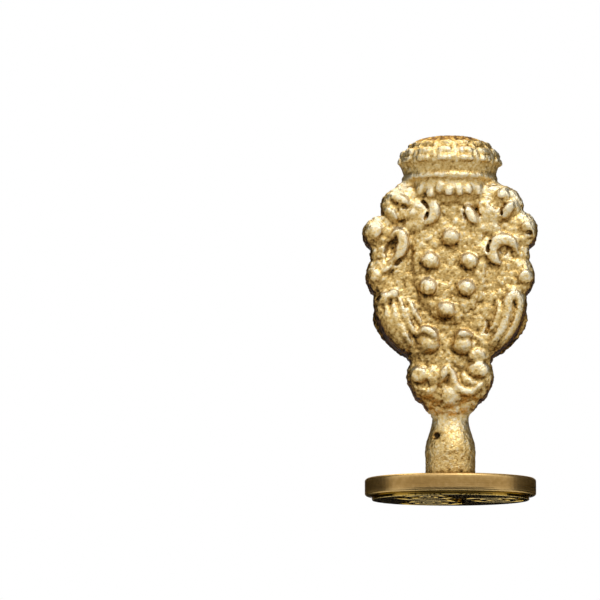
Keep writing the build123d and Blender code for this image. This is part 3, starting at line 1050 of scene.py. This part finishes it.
# Studio: white surroundings, a pale floor that is clear from below, dark flags and soft lamps.
# Camera: how far before the stamp's axis and at what height it stands in metres, and its sensor in mm.
VIEW_DISTANCE = 0.995
VIEW_Z = -0.072
SENSOR = 36
FRAME_WIDTH = IMAGE_WIDTH * PIXEL_MM * MM

# Surroundings: their strength as a light, and where they are seen or mirrored.
SEEN = ("Is Camera Ray", "Is Glossy Ray", "Is Transmission Ray")
LIGHT_STRENGTH = 0.4
SEEN_STRENGTH = 1.0

# Floor: its radius and height in metres, the length of ray that it lets pass, and its glow where seen.
FLOOR_RADIUS = 3
FLOOR_Z = -0.00005
FLOOR_REACH = 0.03
FLOOR_LIFT = 0.2
FLOOR_GREY = (0.65, 0.65, 0.65, 1)

# Flags: name, place, turn, width and height.
FLAG_GREY = (0.02, 0.02, 0.02, 1)
FLAGS = [
    ("flag_left", (-0.35, 0.75, 0.2), (0, pi / 2, 0), 1.5, 0.9),
    ("flag_right", (0.35, 0.75, 0.2), (0, pi / 2, 0), 1.5, 0.9),
    ("flag_low_behind", (0, 0.4, -0.11), (0, pi / 2, pi / 2), 1.6, 0.24),
    ("flag_low_before", (0, -0.4, -0.11), (0, pi / 2, pi / 2), 1.6, 0.22),
    ("flag_below", (0, -0.15, -0.35), (0, 0, 0), 0.5, 0.8),
]

# Lamps: name, place and power. Both have one size and one aim.
LAMP_SIZE = 0.5
LAMP_AIM = Vector((0, 0, 0.03))
LAMPS = [("key", (0.16, -0.35, 0.6), 2.0), ("back", (-0.16, 0.35, 0.6), 1.9)]


def aim(made, target):
    """Turns a camera or a lamp to a place, and tells how far it is."""
    line = target - made.location
    made.rotation_euler = line.to_track_quat("-Z", "Y").to_euler()
    return line.length


def camera():
    bpy.ops.object.camera_add(location=(0, -VIEW_DISTANCE, VIEW_Z))
    made = bpy.context.object
    middle = IMAGE_WIDTH / 2
    aim_x = (middle - AXIS_COLUMN) * PIXEL_MM
    aim_z = FOOT_Z + (FOOT_ROW - middle) * PIXEL_MM
    distance = aim(made, Vector((aim_x * MM, 0, aim_z * MM)))
    made.data.sensor_width = SENSOR
    made.data.lens = SENSOR * distance / FRAME_WIDTH
    made.data.clip_start = 0.05
    made.data.clip_end = 20
    bpy.context.scene.camera = made


def any_of(tree, outputs, at):
    """1 where any of these values is 1."""
    total = outputs[0]
    for k, output in enumerate(outputs[1:]):
        total = combined(tree, total, output, (at[0] + 180 * k, at[1]), "MAXIMUM")
    return total


def surroundings():
    """White where they are seen or mirrored, softer as a light."""
    world = bpy.data.worlds.new("studio")
    bpy.context.scene.world = world
    world.use_nodes = True
    tree = world.node_tree
    background = tree.nodes["Background"]
    rays = node(tree, "ShaderNodeLightPath", (-900, 0))
    seen = any_of(tree, [rays.outputs[kind] for kind in SEEN], (-700, 0))
    level = stretched(tree, seen, (-250, 0), LIGHT_STRENGTH, SEEN_STRENGTH)
    put(background, {"Color": (1, 1, 1, 1)})
    tree.links.new(level, background.inputs["Strength"])


def mixed(tree, at, share, first, second):
    """Goes from one shader to another by a share."""
    made = node(tree, "ShaderNodeMixShader", at)
    for socket, source in zip(made.inputs, (share, first, second)):
        tree.links.new(source, socket)
    return made.outputs[0]


def floor():
    """Pale ground, clear from below and to short rays, so that the seal face has light."""
    bpy.ops.mesh.primitive_circle_add(
        vertices=96, radius=FLOOR_RADIUS, fill_type="NGON", location=(0, 0, FLOOR_Z)
    )
    made = bpy.context.object
    made.name = "floor"
    material, tree, shader = shaded("floor")
    put(shader, {"Base Color": FLOOR_GREY, "Roughness": 0.9})
    rays = node(tree, "ShaderNodeLightPath", (-700, 300))
    short = node(tree, "ShaderNodeMath", (-400, 300), operation="LESS_THAN")
    short.inputs[1].default_value = FLOOR_REACH
    tree.links.new(rays.outputs["Ray Length"], short.inputs[0])
    side = node(tree, "ShaderNodeNewGeometry", (-700, 0))
    passed = any_of(tree, [short.outputs[0], side.outputs["Backfacing"]], (-200, 300))
    seen = any_of(tree, [rays.outputs[kind] for kind in SEEN], (-600, 500))
    lift = stretched(tree, seen, (-200, 500), 0, FLOOR_LIFT)
    white = node(tree, "ShaderNodeEmission", (-100, -200))
    lifted = mixed(tree, (100, 200), lift, shader.outputs[0], white.outputs[0])
    clear = node(tree, "ShaderNodeBsdfTransparent", (100, -200))
    one_sided = mixed(tree, (300, 100), passed, lifted, clear.outputs[0])
    tree.links.new(one_sided, tree.nodes["Material Output"].inputs["Surface"])
    paint(made, material)


def flag(name, place, turn, width, height):
    """Dark card, mirrored in the metal but not seen."""
    bpy.ops.mesh.primitive_plane_add(size=1, location=place, rotation=turn)
    made = bpy.context.object
    made.name = name
    made.scale = (height, width, 1)
    made.visible_camera = False
    made.visible_shadow = False
    material, _, shader = shaded("flag")
    put(shader, {"Base Color": FLAG_GREY, "Roughness": 1, "Specular IOR Level": 0})
    paint(made, material)


def lamp(name, place, power):
    bpy.ops.object.light_add(type="AREA", location=place)
    made = bpy.context.object
    made.name = name
    made.data.size = LAMP_SIZE
    made.data.energy = power
    aim(made, LAMP_AIM)


camera()
surroundings()
floor()
for card in FLAGS:
    flag(*card)
for light in LAMPS:
    lamp(*light)
bpy.context.scene.view_settings.view_transform = "Standard"
